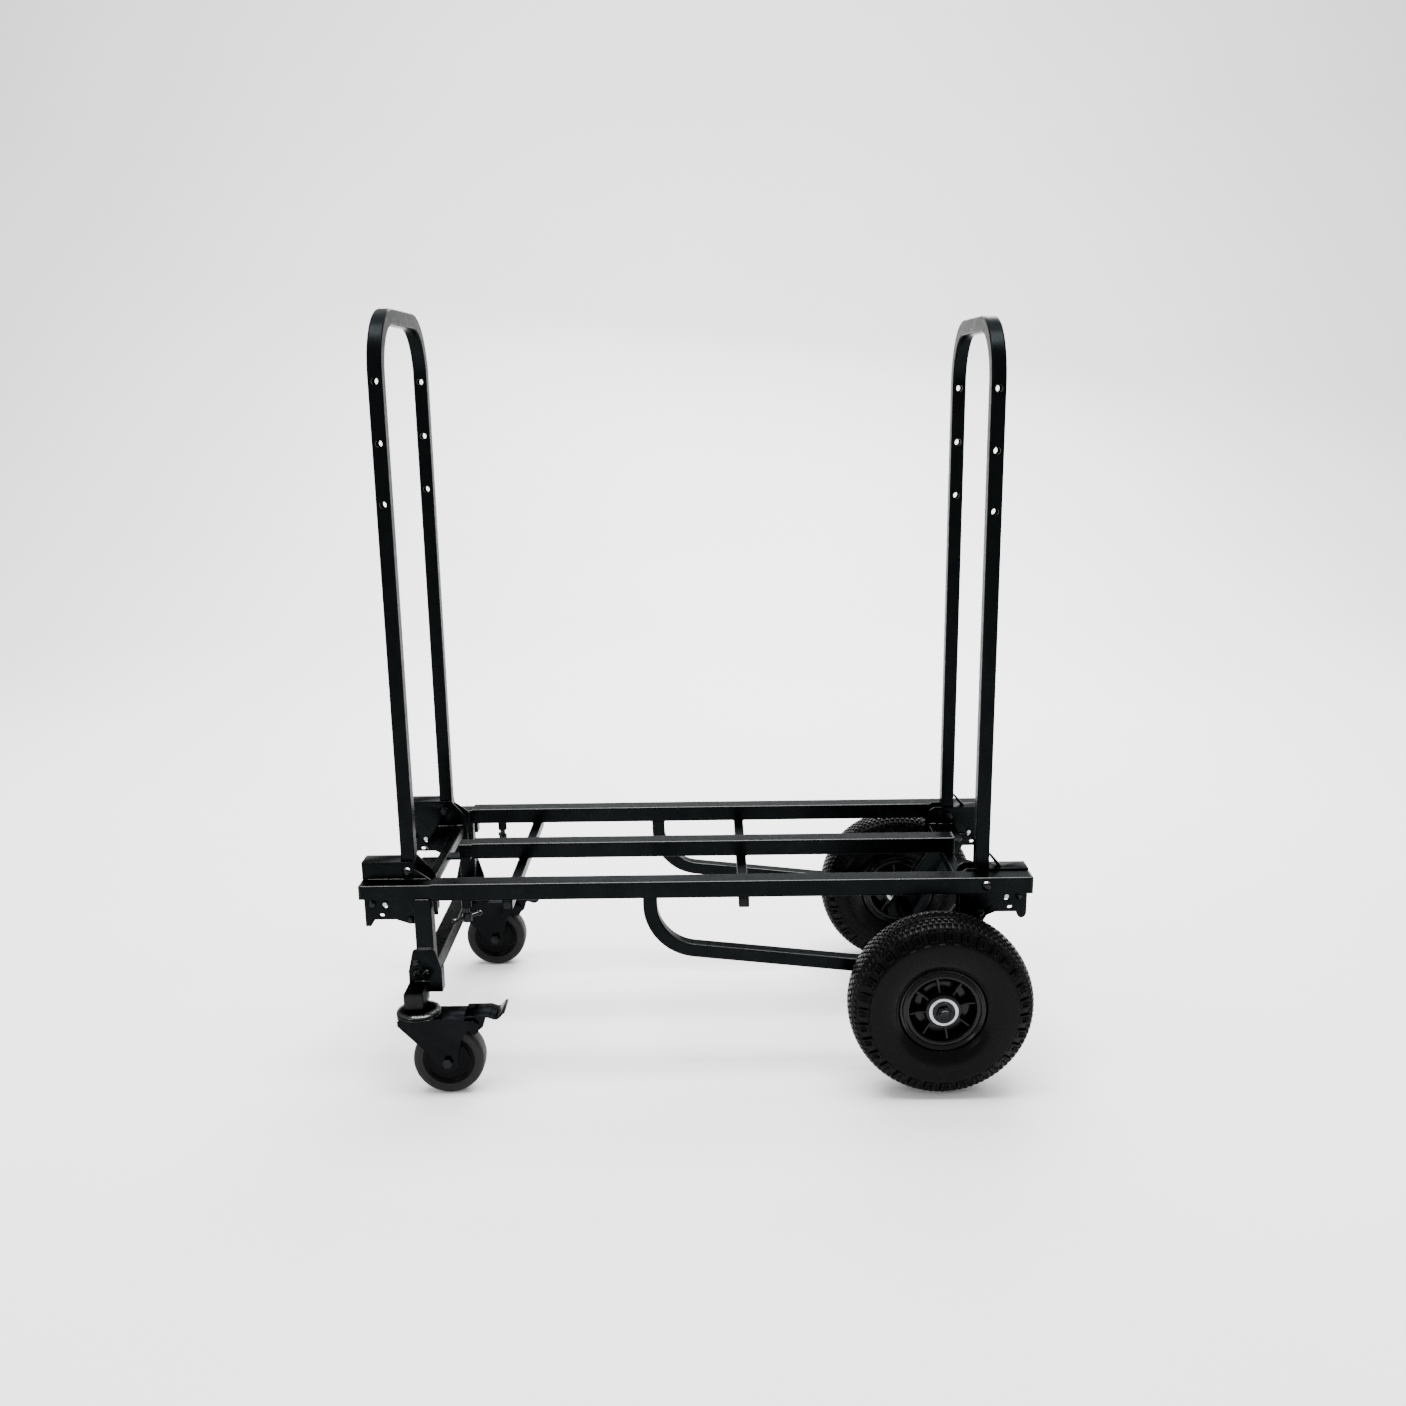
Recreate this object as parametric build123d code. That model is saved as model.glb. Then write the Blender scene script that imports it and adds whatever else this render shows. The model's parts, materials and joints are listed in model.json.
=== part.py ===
from build123d import *
import math
import os

# Convertible hand truck: a telescoping bed of three rails on two large wheels
# and two braked swivel casters, with a folding handle loop at each end.
# Units mm. +X runs from the caster end to the large-wheel end, +Z up, and the
# origin is on the floor under the middle of the retracted bed.

# ---------------------------------------------------------------- dimensions
# bed rails
rail_w, rail_h, rail_wall, rail_r = 30.0, 25.0, 1.5, 2.5
rail_top = 298.0
rail_y = 172.5                      # side rail centre line
outer_x0, outer_x1 = -373.0, 473.5  # outer side rails
mid_outer_x0, mid_outer_x1 = -344.0, 394.0
inner_w, inner_h, inner_wall, inner_r = 26.0, 21.0, 1.5, 2.0
inner_x0, inner_x1 = -473.5, 100.0
mid_inner_x0, mid_inner_x1 = -364.0, 100.0
cap_t = 3.0                         # end cap flange
brace_sq, brace_wall = 15.0, 1.2
brace_x = (-266.0, 69.0)

# handle loops
post_x, post_y, post_r, post_wall = 20.0, 22.0, 3.0, 1.5
handle_y = 142.75                   # post centre line
handle_rise = 779.0                 # pivot to outside of the top bar
handle_tail = 24.0                  # post below the pivot
handle_bend = 79.0                  # centre line radius of the two top bends
hole_rise = (520.0, 601.0, 682.0)   # accessory holes above the pivot
hole_d = 9.5
pivot_d = 8.0
pivot_x = 411.0
front_pivot_z, rear_pivot_z = 307.0, 286.0

# brackets (inverted channels that carry the handle posts)
plate_t = 3.0
inner_plate_y = 128.0               # inside face of the inner plates
latch_x, latch_z = 464.5, 259.0     # latch lever pivot
latch_pin_x = 446.0
latch_throw = 10.0                  # degrees, nose moves down
lower_bolt_x, lower_bolt_z = 410.5, 234.5

# large wheels (3.00-4 size tyre)
wheel_r, tyre_half, wheel_x, wheel_y = 130.0, 42.5, 342.0, 227.0
rim_r, bead_r = 60.5, 50.0
hub_out, hub_in = 33.0, 35.0        # hub ends from the wheel centre plane
shaft_r = 7.5
beam_sq = 20.0
beam_top = 139.0

# bent support tubes
sup_sq, sup_wall, sup_y = 20.0, 1.5, 168.0
sup_x, sup_R = -64.5, 70.0
sup_slope, sup_z0 = -0.1106, 188.8  # lower run: z = sup_z0 + sup_slope * x

# caster end
leg_sq, leg_x, leg_y = 25.0, -387.0, 174.5
lower_tube_z = 159.5
stub_sq, stub_x, stub_y = 25.0, -394.0, 218.0
arm_x, arm_w = -397.5, 28.0          # caster arm centre and width
stub_z0, stub_z1 = 127.0, 152.0
cw_r, cw_half, cw_trail = 50.8, 16.0, 41.0
fork_top, fork_t, fork_in, fork_out = 117.0, 4.0, 18.2, 21.2
pedal_px, pedal_pz = 78.5, 110.0    # pedal pivot from the swivel axis, and height

# clamp screws
clamp_x, clamp_y = -326.5, 172.5

rail_bot = rail_top - rail_h
rail_zc = rail_top - rail_h / 2


# ------------------------------------------------------------------- helpers
def box(x0, x1, y0, y1, z0, z1):
    return Pos((x0 + x1) / 2, (y0 + y1) / 2, (z0 + z1) / 2) * Box(x1 - x0, y1 - y0, z1 - z0)


def cyl_y(x, z, r, y0, y1):
    return extrude(Plane.XZ.offset(-y1) * Pos(x, z) * Circle(r), amount=y1 - y0)


def cyl_z(x, y, r, z0, z1):
    return extrude(Plane.XY.offset(z0) * Pos(x, y) * Circle(r), amount=z1 - z0)


def hex_y(x, z, af, y0, y1, turn=0.0):
    return extrude(Plane.XZ.offset(-y1) * Pos(x, z) * Rot(0, 0, turn) * RegularPolygon(af / 2, 6, major_radius=False), amount=y1 - y0)


def plate_xz(points, y0, y1):
    return extrude(Plane.XZ.offset(-y1) * make_face(Polyline(*points, close=True)), amount=y1 - y0)


def tube_x(x0, x1, yc, zc, w, h, t, r):
    face = RectangleRounded(w, h, r) - RectangleRounded(w - 2 * t, h - 2 * t, max(r - t, 0.6))
    return extrude(Plane.YZ.offset(x0) * Pos(yc, zc) * face, amount=x1 - x0)


def tube_y(y0, y1, xc, zc, w, h, t, r):
    face = RectangleRounded(w, h, r) - RectangleRounded(w - 2 * t, h - 2 * t, max(r - t, 0.6))
    return extrude(Plane.XZ.offset(-y1) * Pos(xc, zc) * face, amount=y1 - y0)


def tube_z(z0, z1, xc, yc, w, h, t, r):
    face = RectangleRounded(w, h, r) - RectangleRounded(w - 2 * t, h - 2 * t, max(r - t, 0.6))
    return extrude(Plane.XY.offset(z0) * Pos(xc, yc) * face, amount=z1 - z0)


def revolve_y(points, x, y, z):
    """Closed (radius, along-Y) profile turned about the line through (x, y, z) along Y."""
    face = make_face(Polyline(*[(r, a) for r, a in points], close=True))
    return Pos(x, y, z) * revolve(face, Axis.Y)


def revolve_z(points, x, y, z):
    face = Plane.XZ * make_face(Polyline(*[(r, a) for r, a in points], close=True))
    return Pos(x, y, z) * revolve(face, Axis.Z)


def far(shape):
    return mirror(shape, about=Plane.XZ)


parts = {}


def both(name, near_shape):
    parts[name + "_near"] = near_shape
    parts[name + "_far"] = far(near_shape)


# ----------------------------------------------------------------- bed rails
rail = tube_x(outer_x0, outer_x1, -rail_y, rail_zc, rail_w, rail_h, rail_wall, rail_r)
rail -= cyl_z(clamp_x, -clamp_y, 4.6, rail_bot - 1, rail_bot + rail_wall + 0.5)
rail -= cyl_y(pivot_x, rear_pivot_z, pivot_d / 2, -rail_y - rail_w, -rail_y + rail_w)
# stop block welded under the front end, which the leg meets when the bed is closed
rail += box(-372.0, -366.5, -rail_y - 9.0, -rail_y + 9.0, 256.0, rail_bot + 0.4)
both("outer_rail", rail)
parts["outer_rail_mid"] = tube_x(mid_outer_x0, mid_outer_x1, 0, rail_zc, rail_w, rail_h, rail_wall, rail_r)

inner = tube_x(inner_x0, inner_x1, -rail_y, rail_zc, inner_w, inner_h, inner_wall, inner_r)
both("inner_rail", inner)
parts["inner_rail_mid"] = tube_x(mid_inner_x0, mid_inner_x1, 0, rail_zc, inner_w, inner_h, inner_wall, inner_r)

for name, x in zip(("cross_brace_front", "cross_brace_rear"), brace_x):
    parts[name] = tube_y(-186.0, 186.0, x, rail_bot - brace_sq / 2, brace_sq, brace_sq, brace_wall, 1.8)


def cap(x_face, direction, yc, w, h, t, r):
    """Plastic end cap: a flange over the tube end and a plug inside it."""
    flange = extrude(Plane.YZ.offset(min(x_face, x_face + direction * cap_t)) * Pos(yc, rail_zc) * RectangleRounded(w, h, r), amount=cap_t)
    edge = flange.faces().sort_by(Axis.X)[-1 if direction > 0 else 0]
    flange = fillet(edge.edges(), 1.0)
    x_in = x_face - direction * 12.0
    plug = extrude(Plane.YZ.offset(min(x_face, x_in)) * Pos(yc, rail_zc) * RectangleRounded(w - 2 * t - 0.2, h - 2 * t - 0.2, 0.8), amount=12.0)
    return flange + plug


parts["rear_end_caps"] = Compound([
    cap(outer_x1, 1, -rail_y, rail_w, rail_h, rail_wall, rail_r),
    cap(outer_x1, 1, rail_y, rail_w, rail_h, rail_wall, rail_r),
    cap(mid_outer_x1, 1, 0, rail_w, rail_h, rail_wall, rail_r)])
parts["front_end_caps"] = Compound([
    cap(inner_x0, -1, -rail_y, inner_w, inner_h, inner_wall, inner_r),
    cap(inner_x0, -1, rail_y, inner_w, inner_h, inner_wall, inner_r)])

# ---------------------------------------------------------------- clamp nuts
nut = cyl_z(clamp_x, -clamp_y, 7.0, 258.0, rail_bot) - cyl_z(clamp_x, -clamp_y, 4.05, 250.0, 280.0)
parts["clamp_weld_nuts"] = Compound([nut, far(nut)])


def clamp(turn):
    """Clamp screw with a sliding-style T bar, pointing up."""
    s = cyl_z(0, 0, 4.0, 240.0, 274.6)
    s += cyl_z(0, 0, 6.5, 237.0, 249.0)
    bar = Pos(0, 0, 243.0) * Rot(0, 90, 0) * Cylinder(2.6, 42.0)
    bar += Pos(21.0, 0, 243.0) * Sphere(4.0)
    bar += Pos(-21.0, 0, 243.0) * Sphere(4.0)
    return Rot(0, 0, turn) * (s + bar)


parts["clamp_screw_near"] = Pos(clamp_x, -clamp_y, 0) * clamp(45.0)
parts["clamp_screw_far"] = Pos(clamp_x, clamp_y, 0) * clamp(-70.0)

# ------------------------------------------------------------------ brackets


def arc_slot(sign, y0, y1):
    """Slot for the latch cross pin, an arc about the latch pivot."""
    rad = latch_x - latch_pin_x
    tool = None
    for k in range(7):
        a = math.radians(-latch_throw * 1.1 * k / 6)
        x = sign * (latch_x - rad * math.cos(a))
        z = latch_z + rad * math.sin(a)
        c = cyl_y(x, z, 3.6, y0, y1)
        tool = c if tool is None else tool + c
    return tool


def bracket(sign, outline_outer, outline_inner, pivot_z, web_z, web_x, outer_y0, outer_y1):
    """Channel for the near side: outer plate, inner plate and top web. sign -1 is the caster end."""
    outer_p = plate_xz(outline_outer, outer_y0, outer_y1)
    inner_p = plate_xz(outline_inner, -inner_plate_y - plate_t, -inner_plate_y)
    web = box(min(web_x), max(web_x), outer_y0, -inner_plate_y, web_z - plate_t, web_z)
    body = outer_p + inner_p + web
    for e in ((outer_y0, outer_y1), (-inner_plate_y - plate_t, -inner_plate_y)):
        a, b = e[0] - 1, e[1] + 1
        body -= cyl_y(sign * pivot_x, pivot_z, pivot_d / 2, a, b)
        body -= cyl_y(sign * latch_x, latch_z, 3.0, a, b)
        body -= cyl_y(sign * lower_bolt_x, lower_bolt_z, 3.0, a, b)
        body -= arc_slot(sign, a, b)
        body -= cyl_y(sign * 450.5, 241.8, 2.4, a, b) + cyl_y(sign * 452.5, 241.8, 2.4, a, b) + box(min(sign * 450.5, sign * 452.5), max(sign * 450.5, sign * 452.5), a, b, 239.4, 244.2)
    return body


f_outer = [(-476.0, 322.0), (-402.5, 322.0), (-401.5, 311.0), (-377.0, 293.5), (-377.0, 228.0), (-412.7, 228.0), (-432.0, 235.0), (-462.0, 235.0), (-468.5, 225.0), (-476.0, 225.0)]
f_inner = [(-476.0, 322.0), (-401.0, 322.0), (-399.0, 319.0), (-377.0, 293.5), (-377.0, 230.0), (-418.0, 230.0), (-432.0, 237.0), (-462.0, 237.0), (-468.5, 225.0), (-476.0, 225.0)]
both("front_bracket", bracket(-1, f_outer, f_inner, front_pivot_z, 322.0, (-476.0, -421.4), -159.5, -156.5))

r_outer = [(379.0, 289.0), (382.0, 296.0), (389.0, 300.5), (476.0, 300.5), (475.5, 232.0), (473.5, 227.5), (469.5, 225.0), (466.0, 225.5), (463.0, 228.5), (460.5, 235.0), (431.0, 235.0), (423.0, 231.5), (415.0, 228.0), (384.0, 228.0), (379.0, 233.0)]
rear_br = bracket(1, r_outer, r_outer, rear_pivot_z, 300.5, (421.4, 476.0), -157.5, -154.5)
# tongue bent up from the web as a back stop for the post
rear_br += plate_xz([(422.4, 316.0), (425.2, 317.0), (440.5, 299.5), (435.5, 299.0)], -150.0, -136.0)
both("rear_bracket", rear_br)

# cross tubes between the inner plates, each with two corner gussets
fct = tube_y(-inner_plate_y, inner_plate_y, -389.5, 272.5, 15.0, 15.0, brace_wall, 1.8)
g = extrude(Plane.XY.offset(276.5) * make_face(Polyline((-396.5, -inner_plate_y), (-427.0, -inner_plate_y), (-427.0, -34.0), (-418.0, -20.0), (-396.5, -20.0), close=True)), amount=3.0)
# strap that carries the middle inner rail, under its end
strap = box(-382.5, -348.0, -12.0, 12.0, 271.0, 275.0)
parts["front_cross_tube"] = fct + g + far(g) + strap
rct = tube_y(-inner_plate_y, inner_plate_y, 387.5, 265.5, 15.0, 15.0, brace_wall, 1.8)
g = extrude(Plane.XY.offset(269.5) * make_face(Polyline((394.5, -inner_plate_y), (422.0, -inner_plate_y), (422.0, -56.0), (413.0, -43.0), (394.5, -43.0), close=True)), amount=3.0)
parts["rear_cross_tube"] = rct + g + far(g)


# pivot bolts, run along Y through bracket, post and (rear) rail
def bolt_y(x, z, d, y_head, y_nut, head_af, head_h, nut_af, nut_h, tail=3.0):
    """Domed-head bolt whose head seats at y_head (head towards -Y), nut seats at y_nut."""
    s = cyl_y(x, z, d / 2, y_head, y_nut + nut_h + tail)
    head = revolve_y([(0, -head_h), (head_af * 0.22, -head_h), (head_af * 0.40, -head_h * 0.72), (head_af * 0.5, -head_h * 0.25), (head_af * 0.5, 0), (0, 0)], x, y_head, z)
    n = hex_y(x, z, nut_af, y_nut, y_nut + nut_h)
    return s + head + n


fb = bolt_y(-pivot_x, front_pivot_z, pivot_d, -159.5, -inner_plate_y, 14.0, 4.5, 13.0, 6.5)
parts["front_pivot_bolts"] = Compound([fb, far(fb)])
rb = bolt_y(pivot_x, rear_pivot_z, pivot_d, -rail_y - rail_w / 2, -inner_plate_y, 14.0, 4.5, 13.0, 6.5)
parts["rear_pivot_bolts"] = Compound([rb, far(rb)])

# latch pivot bolts and lower spacer bolts
fl = [bolt_y(-latch_x, latch_z, 6.0, -159.5, -inner_plate_y, 11.0, 3.6, 10.0, 5.0, 2.0),
      bolt_y(-lower_bolt_x, lower_bolt_z, 6.0, -159.5, -inner_plate_y, 11.0, 3.6, 10.0, 5.0, 2.0)]
parts["front_latch_bolts"] = Compound(fl + [far(b) for b in fl])
rl = [bolt_y(latch_x, latch_z, 6.0, -157.5, -inner_plate_y, 11.0, 3.6, 10.0, 5.0, 2.0),
      bolt_y(lower_bolt_x, lower_bolt_z, 6.0, -157.5, -inner_plate_y, 11.0, 3.6, 10.0, 5.0, 2.0)]
parts["rear_latch_bolts"] = Compound(rl + [far(b) for b in rl])


# latch levers: boss on the pivot bolt, arm and nose under the post foot, cross pin through the slots
def latch(sign, y_out):
    yc = -handle_y
    arm = plate_xz([(sign * (latch_x + 2), latch_z - 7.5), (sign * (latch_x + 2), latch_z + 7.5), (sign * latch_x, latch_z + 8.0),
                    (sign * 452.0, latch_z + 7.0), (sign * 440.0, 258.0), (sign * 403.0, 258.0), (sign * 403.0, 251.0), (sign * 430.0, 249.0), (sign * latch_x, latch_z - 8.0)], yc - 3.0, yc + 3.0)
    boss = cyl_y(sign * latch_x, latch_z, 8.0, yc - 9.5, yc + 9.5)
    nose = box(min(sign * 403.0, sign * 421.0), max(sign * 403.0, sign * 421.0), yc - 8.0, yc + 8.0, 252.0, 258.0)
    pin = cyl_y(sign * latch_pin_x, latch_z, 3.0, y_out - 2.5, -inner_plate_y + 3.0)
    body = arm + boss + nose + pin
    return body - cyl_y(sign * latch_x, latch_z, 3.05, yc - 12, yc + 12)


both("front_latch", latch(-1, -159.5))
both("rear_latch", latch(1, -157.5))


# ------------------------------------------------------------- handle loops
def handle(px, pz):
    """Loop of rectangular tube, posts pivoting at (px, pz)."""
    top = pz + handle_rise - post_y / 2          # centre line of the top bar
    z_bend = top - handle_bend
    y_bend = handle_y - handle_bend
    path = Polyline((px, -handle_y, pz - handle_tail), (px, -handle_y, z_bend))
    arc1 = ThreePointArc((px, -handle_y, z_bend), (px, -y_bend - handle_bend * math.sin(math.pi / 4), z_bend + handle_bend * math.sin(math.pi / 4)), (px, -y_bend, top))
    bar = Line((px, -y_bend, top), (px, y_bend, top))
    arc2 = ThreePointArc((px, y_bend, top), (px, y_bend + handle_bend * math.sin(math.pi / 4), z_bend + handle_bend * math.sin(math.pi / 4)), (px, handle_y, z_bend))
    down = Line((px, handle_y, z_bend), (px, handle_y, pz - handle_tail))
    wire = Wire([path.edges()[0], arc1.edges()[0], bar.edges()[0], arc2.edges()[0], down.edges()[0]])
    start = Plane(origin=(px, -handle_y, pz - handle_tail), x_dir=(1, 0, 0), z_dir=(0, 0, 1))
    outer = sweep(start * RectangleRounded(post_x, post_y, post_r), path=wire)
    hollow = sweep(start * RectangleRounded(post_x - 2 * post_wall, post_y - 2 * post_wall, post_r - post_wall), path=wire)
    body = outer - hollow
    for rise in hole_rise:
        body -= cyl_y(px, pz + rise, hole_d / 2, -handle_y - 20, handle_y + 20)
    body -= cyl_y(px, pz, pivot_d / 2 + 0.05, -handle_y - 20, handle_y + 20)
    return body


parts["front_handle"] = handle(-pivot_x, front_pivot_z)
parts["rear_handle"] = handle(pivot_x, rear_pivot_z)

# ----------------------------------------------------- bent support, axle
# centre line: down from the rail, a bend, then the sloping run to the axle beam
run_ang = math.atan(sup_slope)
corner_z = sup_z0 + sup_slope * sup_x
turn = math.pi / 2 + run_ang
tan_len = sup_R * math.tan(turn / 2)
p0 = (sup_x, -sup_y, rail_bot)
p1 = (sup_x, -sup_y, corner_z + tan_len)
p2 = (sup_x + tan_len * math.cos(run_ang), -sup_y, corner_z + tan_len * math.sin(run_ang))
end_x = wheel_x + 12.0
p3 = (end_x, -sup_y, sup_z0 + sup_slope * end_x)
cx_, cz_ = sup_x + sup_R, corner_z + tan_len
mid_a = math.pi + turn / 2
pm = (cx_ + sup_R * math.cos(mid_a), -sup_y, cz_ + sup_R * math.sin(mid_a))
wire = Wire([Line(p0, p1).edges()[0], ThreePointArc(p1, pm, p2).edges()[0], Line(p2, p3).edges()[0]])
start = Plane(origin=p0, x_dir=(1, 0, 0), z_dir=(0, 0, -1))
sup = sweep(start * RectangleRounded(sup_sq, sup_sq, 2.5), path=wire)
sup -= sweep(start * RectangleRounded(sup_sq - 2 * sup_wall, sup_sq - 2 * sup_wall, 1.0), path=wire)
both("bent_support", sup)

beam_y = 180.0
beam_zc = beam_top - beam_sq / 2
parts["axle_beam"] = tube_y(-beam_y, beam_y, wheel_x, beam_zc, beam_sq, beam_sq, 1.5, 2.5)

ap = plate_xz([(380.0, 231.0), (380.0, 256.0), (440.0, 256.0), (440.0, 243.0), (366.0, 113.0), (318.0, 113.0), (314.0, 131.0)], -inner_plate_y, -inner_plate_y + 4.0)
ap -= box(wheel_x - beam_sq / 2, wheel_x + beam_sq / 2, -140, -110, beam_zc - beam_sq / 2, beam_zc + beam_sq / 2)
# folded stiffening lip on the caster-side edge
ex, ez = (380.0 - 314.0), (231.0 - 131.0)
el = math.hypot(ex, ez)
ap += plate_xz([(314.0, 131.0), (380.0, 231.0), (380.0 + 4.0 * ez / el, 231.0 - 4.0 * ex / el), (314.0 + 4.0 * ez / el, 131.0 - 4.0 * ex / el)], -inner_plate_y, -inner_plate_y + 14.0)
ap -= cyl_y(lower_bolt_x, lower_bolt_z, 7.5, -140, -110)
both("axle_plate", ap)

shaft_end = wheel_y + 45.5
shaft = cyl_y(wheel_x, wheel_r, shaft_r, -shaft_end, shaft_end)
sh = cyl_y(wheel_x, wheel_r, 11.0, -(wheel_y - hub_in - 0.4), -beam_y)
shaft = shaft + sh + far(sh)
ends = shaft.faces().sort_by(Axis.Y)
shaft = chamfer([ends[0].edges()[0], ends[-1].edges()[0]], 1.2)
parts["axle_shaft"] = shaft
hub_face = wheel_y + hub_out
an = cyl_y(wheel_x, wheel_r, 12.5, -hub_face - 2.5, -hub_face - 0.4) + cyl_y(wheel_x, wheel_r, 15.8, -hub_face - 4.0, -hub_face - 2.4) + hex_y(wheel_x, wheel_r, 19.0, -hub_face - 9.5, -hub_face - 3.5, 11.0)
an -= cyl_y(wheel_x, wheel_r, shaft_r, -300, -200)
parts["axle_nuts"] = Compound([an, far(an)])

# ------------------------------------------------------------- large wheels
# tyre: carcass with beads between the rim flanges
h = tyre_half
tyre_pts = [(bead_r, -26.8), (bead_r, 26.8), (60.8, 26.8), (61.2, 31.5), (66.0, 35.4), (74.0, 39.8), (84.0, 42.2), (94.0, 42.5), (103.0, 41.5), (112.0, 38.0), (119.0, 34.0),
            (124.5, 28.0), (128.0, 19.0), (129.6, 9.0), (130.0, 0.0)]
tyre_pts += [(r, -a) for r, a in reversed(tyre_pts[1:-1])]
rim_pts = [(17.5, hub_out), (24.0, hub_out), (24.5, 8.0), (46.0, 8.0), (46.0, 27.5), (49.0, 30.5), (59.0, 31.0), (rim_r, 29.5), (59.5, 27.0), (bead_r, 27.0),
           (bead_r, -27.0), (59.5, -27.0), (rim_r, -29.5), (59.0, -31.0), (49.0, -30.5), (46.0, -27.5), (46.0, -8.0), (24.5, -8.0), (24.0, -hub_in), (17.5, -hub_in)]
# hub_out faces away from the bed: local +a is outboard
rim_near = revolve_y([(r, -a) for r, a in rim_pts], wheel_x, -wheel_y, wheel_r)
for k in range(8):
    rib = box(23.0, 47.5, -22.0, 22.0, -1.6, 1.6)
    rib -= box(0, 60, -8.0, 8.0, -5, 5)
    rim_near += Pos(wheel_x, -wheel_y, wheel_r) * Rot(0, 22.5 + 45.0 * k, 0) * rib
both("rim", rim_near)
both("tyre", revolve_y(tyre_pts, wheel_x, -wheel_y, wheel_r))
brg = []
for face, out in ((-hub_out, -1), (hub_in, 1)):
    pts = [(shaft_r + 0.06, face), (shaft_r + 0.06, face - out * 11.0), (17.5, face - out * 11.0), (17.5, face), (20.5, face), (20.5, face + out * 2.0), (13.75, face + out * 2.0), (13.75, face)]
    brg.append(revolve_y(pts, wheel_x, -wheel_y, wheel_r))
parts["wheel_bearings_near"] = Compound(brg)
parts["wheel_bearings_far"] = Compound([far(b) for b in brg])

# -------------------------------------------------------------- caster end
leg = tube_z(136.0, rail_zc - inner_h / 2, leg_x, -leg_y, leg_sq, leg_sq, 1.5, 2.5)
both("leg", leg)
parts["lower_cross_tube"] = tube_y(-(leg_y - leg_sq / 2), leg_y - leg_sq / 2, leg_x, lower_tube_z, leg_sq, leg_sq, 1.5, 2.5)

y_leg = -(leg_y + leg_sq / 2)
cb = plate_xz([(-401.0, 201.0), (-404.5, 198.0), (-411.5, 168.0), (-411.5, 136.0), (-364.5, 136.0), (-364.5, 170.0), (-372.5, 198.0), (-375.0, 201.0)], y_leg - plate_t, y_leg)
arm_y0 = -(stub_y + stub_sq / 2)
arm = tube_y(arm_y0, y_leg - plate_t, arm_x, (stub_z0 + stub_z1) / 2, arm_w, stub_z1 - stub_z0, 2.0, 1.6)
arm += box(arm_x - 12.5, arm_x + 12.5, arm_y0, arm_y0 + 2.5, stub_z0 + 1.5, stub_z1 - 1.5)
cb = cb + arm
# side cheeks folded back beside the leg
cb += box(-411.5, -408.5, y_leg - 1.5, y_leg + 16.0, 136.0, 168.0)
cb += box(-367.5, -364.5, y_leg - 1.5, y_leg + 16.0, 136.0, 170.0)
cbolts = []
for bx, bz in ((-400.0, 181.0), (-400.0, 165.5), (-386.5, 165.5)):
    cbolts.append((bx, bz))
    cb -= cyl_y(bx, bz, 3.0, y_leg - 5, y_leg + 2)
both("caster_bracket", cb)
bolts = []
for bx, bz in cbolts:
    b = cyl_y(bx, bz, 3.0, y_leg - plate_t, y_leg)
    b += revolve_y([(0, -4.0), (2.4, -4.0), (4.4, -2.9), (5.3, -1.0), (5.3, 0), (0, 0)], bx, y_leg - plate_t, bz)
    bolts.append(b)
parts["caster_bracket_bolts"] = Compound(bolts + [far(b) for b in bolts])

# swivel head with its riveted kingpin, fixed under the arm
head = revolve_z([(5.0, 112.5), (5.0, 118.6), (27.0, 118.6), (31.0, 119.2), (31.5, 120.5), (29.5, 123.5), (22.0, 126.3), (16.0, 127.0), (0, 127.0), (0, 109.5), (7.0, 109.5), (8.5, 110.5), (8.5, 112.5)], stub_x, -stub_y, 0)
# rivet head sits below the fork's top plate with a small running gap
both("swivel_head", head)

# fork: round top plate, two legs to the wheel axle
fz1, fz0 = fork_top, fork_top - fork_t
top = cyl_z(0, 0, 31.0, fz0, fz1) + box(0, 66.0, -fork_out, fork_out, fz0, fz1)
leg_pts = [(-27.0, fz0 + 1.0), (66.0, fz0 + 1.0), (84.0, 113.0), (88.0, 108.0), (84.0, 101.0), (72.0, 99.0), (63.0, 88.0), (57.0, 66.0)]
ax, az = cw_trail, cw_r
for k in range(9):
    a = math.radians(20.0 - 205.0 * k / 8)
    leg_pts.append((ax + 15.5 * math.cos(a), az + 15.5 * math.sin(a)))
leg_pts.append((-27.0, fz0 - 6.0))
fork = top
for s in (-1, 1):
    y0, y1 = sorted((s * fork_in, s * fork_out))
    fork += plate_xz(leg_pts, y0, y1)
fork -= cyl_z(0, 0, 5.05, 90, 125)
fork -= cyl_y(ax, az, 4.0, -40, 40)
fork -= cyl_y(pedal_px, pedal_pz, 3.05, -40, 40)
both("caster_fork", Pos(stub_x, -stub_y, 0) * fork)

# caster wheel: tread on a plastic core
wx = stub_x + cw_trail
tread_pts = [(36.5, -14.0), (36.5, 14.0), (41.0, 15.6), (46.0, 16.0), (49.0, 14.6), (50.4, 11.5), (cw_r, 6.0), (cw_r, -6.0), (50.4, -11.5), (49.0, -14.6), (46.0, -16.0), (41.0, -15.6)]
both("caster_tread", revolve_y(tread_pts, wx, -stub_y, cw_r))
core_pts = [(4.05, -17.4), (12.0, -17.4), (13.0, -13.0), (29.0, -12.0), (33.0, -14.0), (36.5, -14.0), (36.5, 14.0), (33.0, 14.0), (29.0, 12.0), (13.0, 13.0), (12.0, 17.4), (4.05, 17.4)]
both("caster_core", revolve_y(core_pts, wx, -stub_y, cw_r))
axle = cyl_y(wx, cw_r, 4.0, -stub_y - fork_out, -stub_y + fork_out + 7.5)
axle += hex_y(wx, cw_r, 13.0, -stub_y - fork_out - 5.0, -stub_y - fork_out)
axle += hex_y(wx, cw_r, 13.0, -stub_y + fork_out, -stub_y + fork_out + 6.0)
both("caster_axle", axle)

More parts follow.
